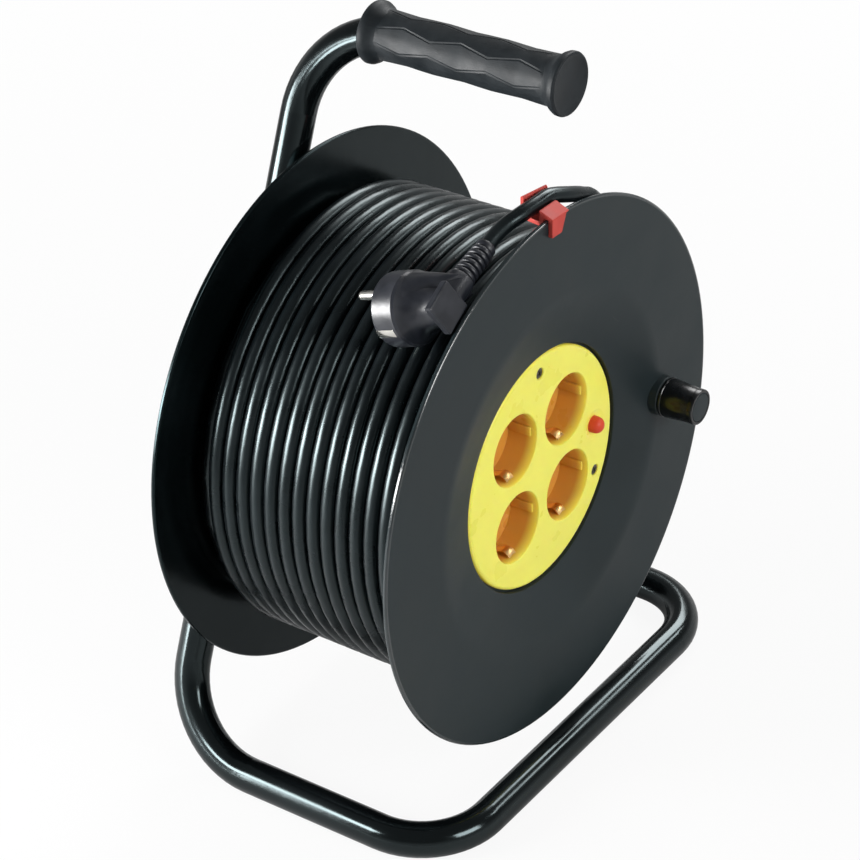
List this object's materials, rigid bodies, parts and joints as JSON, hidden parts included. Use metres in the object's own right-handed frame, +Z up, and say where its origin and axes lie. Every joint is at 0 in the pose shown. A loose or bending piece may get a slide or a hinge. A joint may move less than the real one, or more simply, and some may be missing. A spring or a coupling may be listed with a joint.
{
  "type": "extension cord reel",
  "caption": "Cord reel on a bent tube stand with a carrying grip; its flanged drum holds wound cord and a plate of earthed sockets, and turns by a crank knob.",
  "frame": {"origin": "on the floor, straight below the middle of the drum", "axes": "+X right, -Y the socket side, +Z up"},
  "size_m": [0.295, 0.1985, 0.3895],
  "materials": {
    "black_paint": "gloss black stoved paint on steel tube",
    "grip_rubber": "moulded dark grey rubber",
    "black_plastic": "moulded black plastic",
    "flange_plastic": "satin dark grey moulded plastic",
    "yellow_plastic": "glossy yellow moulded plastic",
    "red_plastic": "glossy red moulded plastic",
    "white_plastic": "off-white bearing plastic",
    "glossy_black_plastic": "glossy black moulded plastic",
    "zinc_steel": "zinc plated steel",
    "nickel_brass": "nickel plated brass pins",
    "brass": "spring brass strip",
    "cord_jacket": "black flexible cord jacket",
    "brown_insulation": "brown PVC insulation",
    "blue_insulation": "blue PVC insulation",
    "green_insulation": "green and yellow PVC insulation"
  },
  "bodies": {
    "frame": {"frame_tube": "black_paint", "tube_end_cap": "black_plastic", "grip": "grip_rubber", "axle_bracket": "black_paint", "axle": "zinc_steel", "rear_washer": "zinc_steel", "rear_nut": "zinc_steel", "front_washer": "zinc_steel", "front_nut": "zinc_steel"},
    "drum": {"front_flange": "flange_plastic", "rear_flange": "black_plastic", "drum_barrel": "black_plastic", "front_flange_screws": "zinc_steel", "rear_flange_screws": "zinc_steel", "hub_bush": "white_plastic", "socket_plate": "yellow_plastic", "plate_screws": "zinc_steel", "earth_clips": "brass", "live_busbar": "brass", "neutral_busbar": "brass", "socket_cover": "black_plastic", "cover_screw": "zinc_steel", "thermal_cutout": "black_plastic", "knob_pin": "zinc_steel", "cord_clip": "red_plastic", "cord_clamp": "black_plastic", "clamp_screws": "zinc_steel", "live_lead": "brown_insulation", "switched_lead": "brown_insulation", "neutral_lead": "blue_insulation", "earth_lead": "green_insulation", "cord_core": "cord_jacket", "cord_winding": "cord_jacket", "cord_lead_in": "cord_jacket", "cord_tail": "cord_jacket", "plug_body": "glossy_black_plastic", "plug_pins": "nickel_brass", "plug_earth_contacts": "brass", "plug_strain_relief": "cord_jacket", "button_spring": "zinc_steel"},
    "knob": {"crank_knob": "glossy_black_plastic", "knob_cap": "black_plastic"},
    "button": {"reset_button": "red_plastic"}
  },
  "joints": [
    {"name": "drum_spin", "type": "hinge", "parent": "frame", "child": "drum", "pos_m": [0, 0, 0.167], "axis": [0, -1, 0], "continuous": true},
    {"name": "knob_spin", "type": "hinge", "parent": "drum", "child": "knob", "pos_m": [0.10226, 0, 0.16003], "axis": [0, -1, 0], "continuous": true},
    {"name": "reset_press", "type": "slide", "parent": "drum", "child": "button", "axis": [0, 1, 0], "range_m": [0, 0.0015], "stiffness_N_per_m": 300, "deforming": ["button_spring"]}
  ]
}
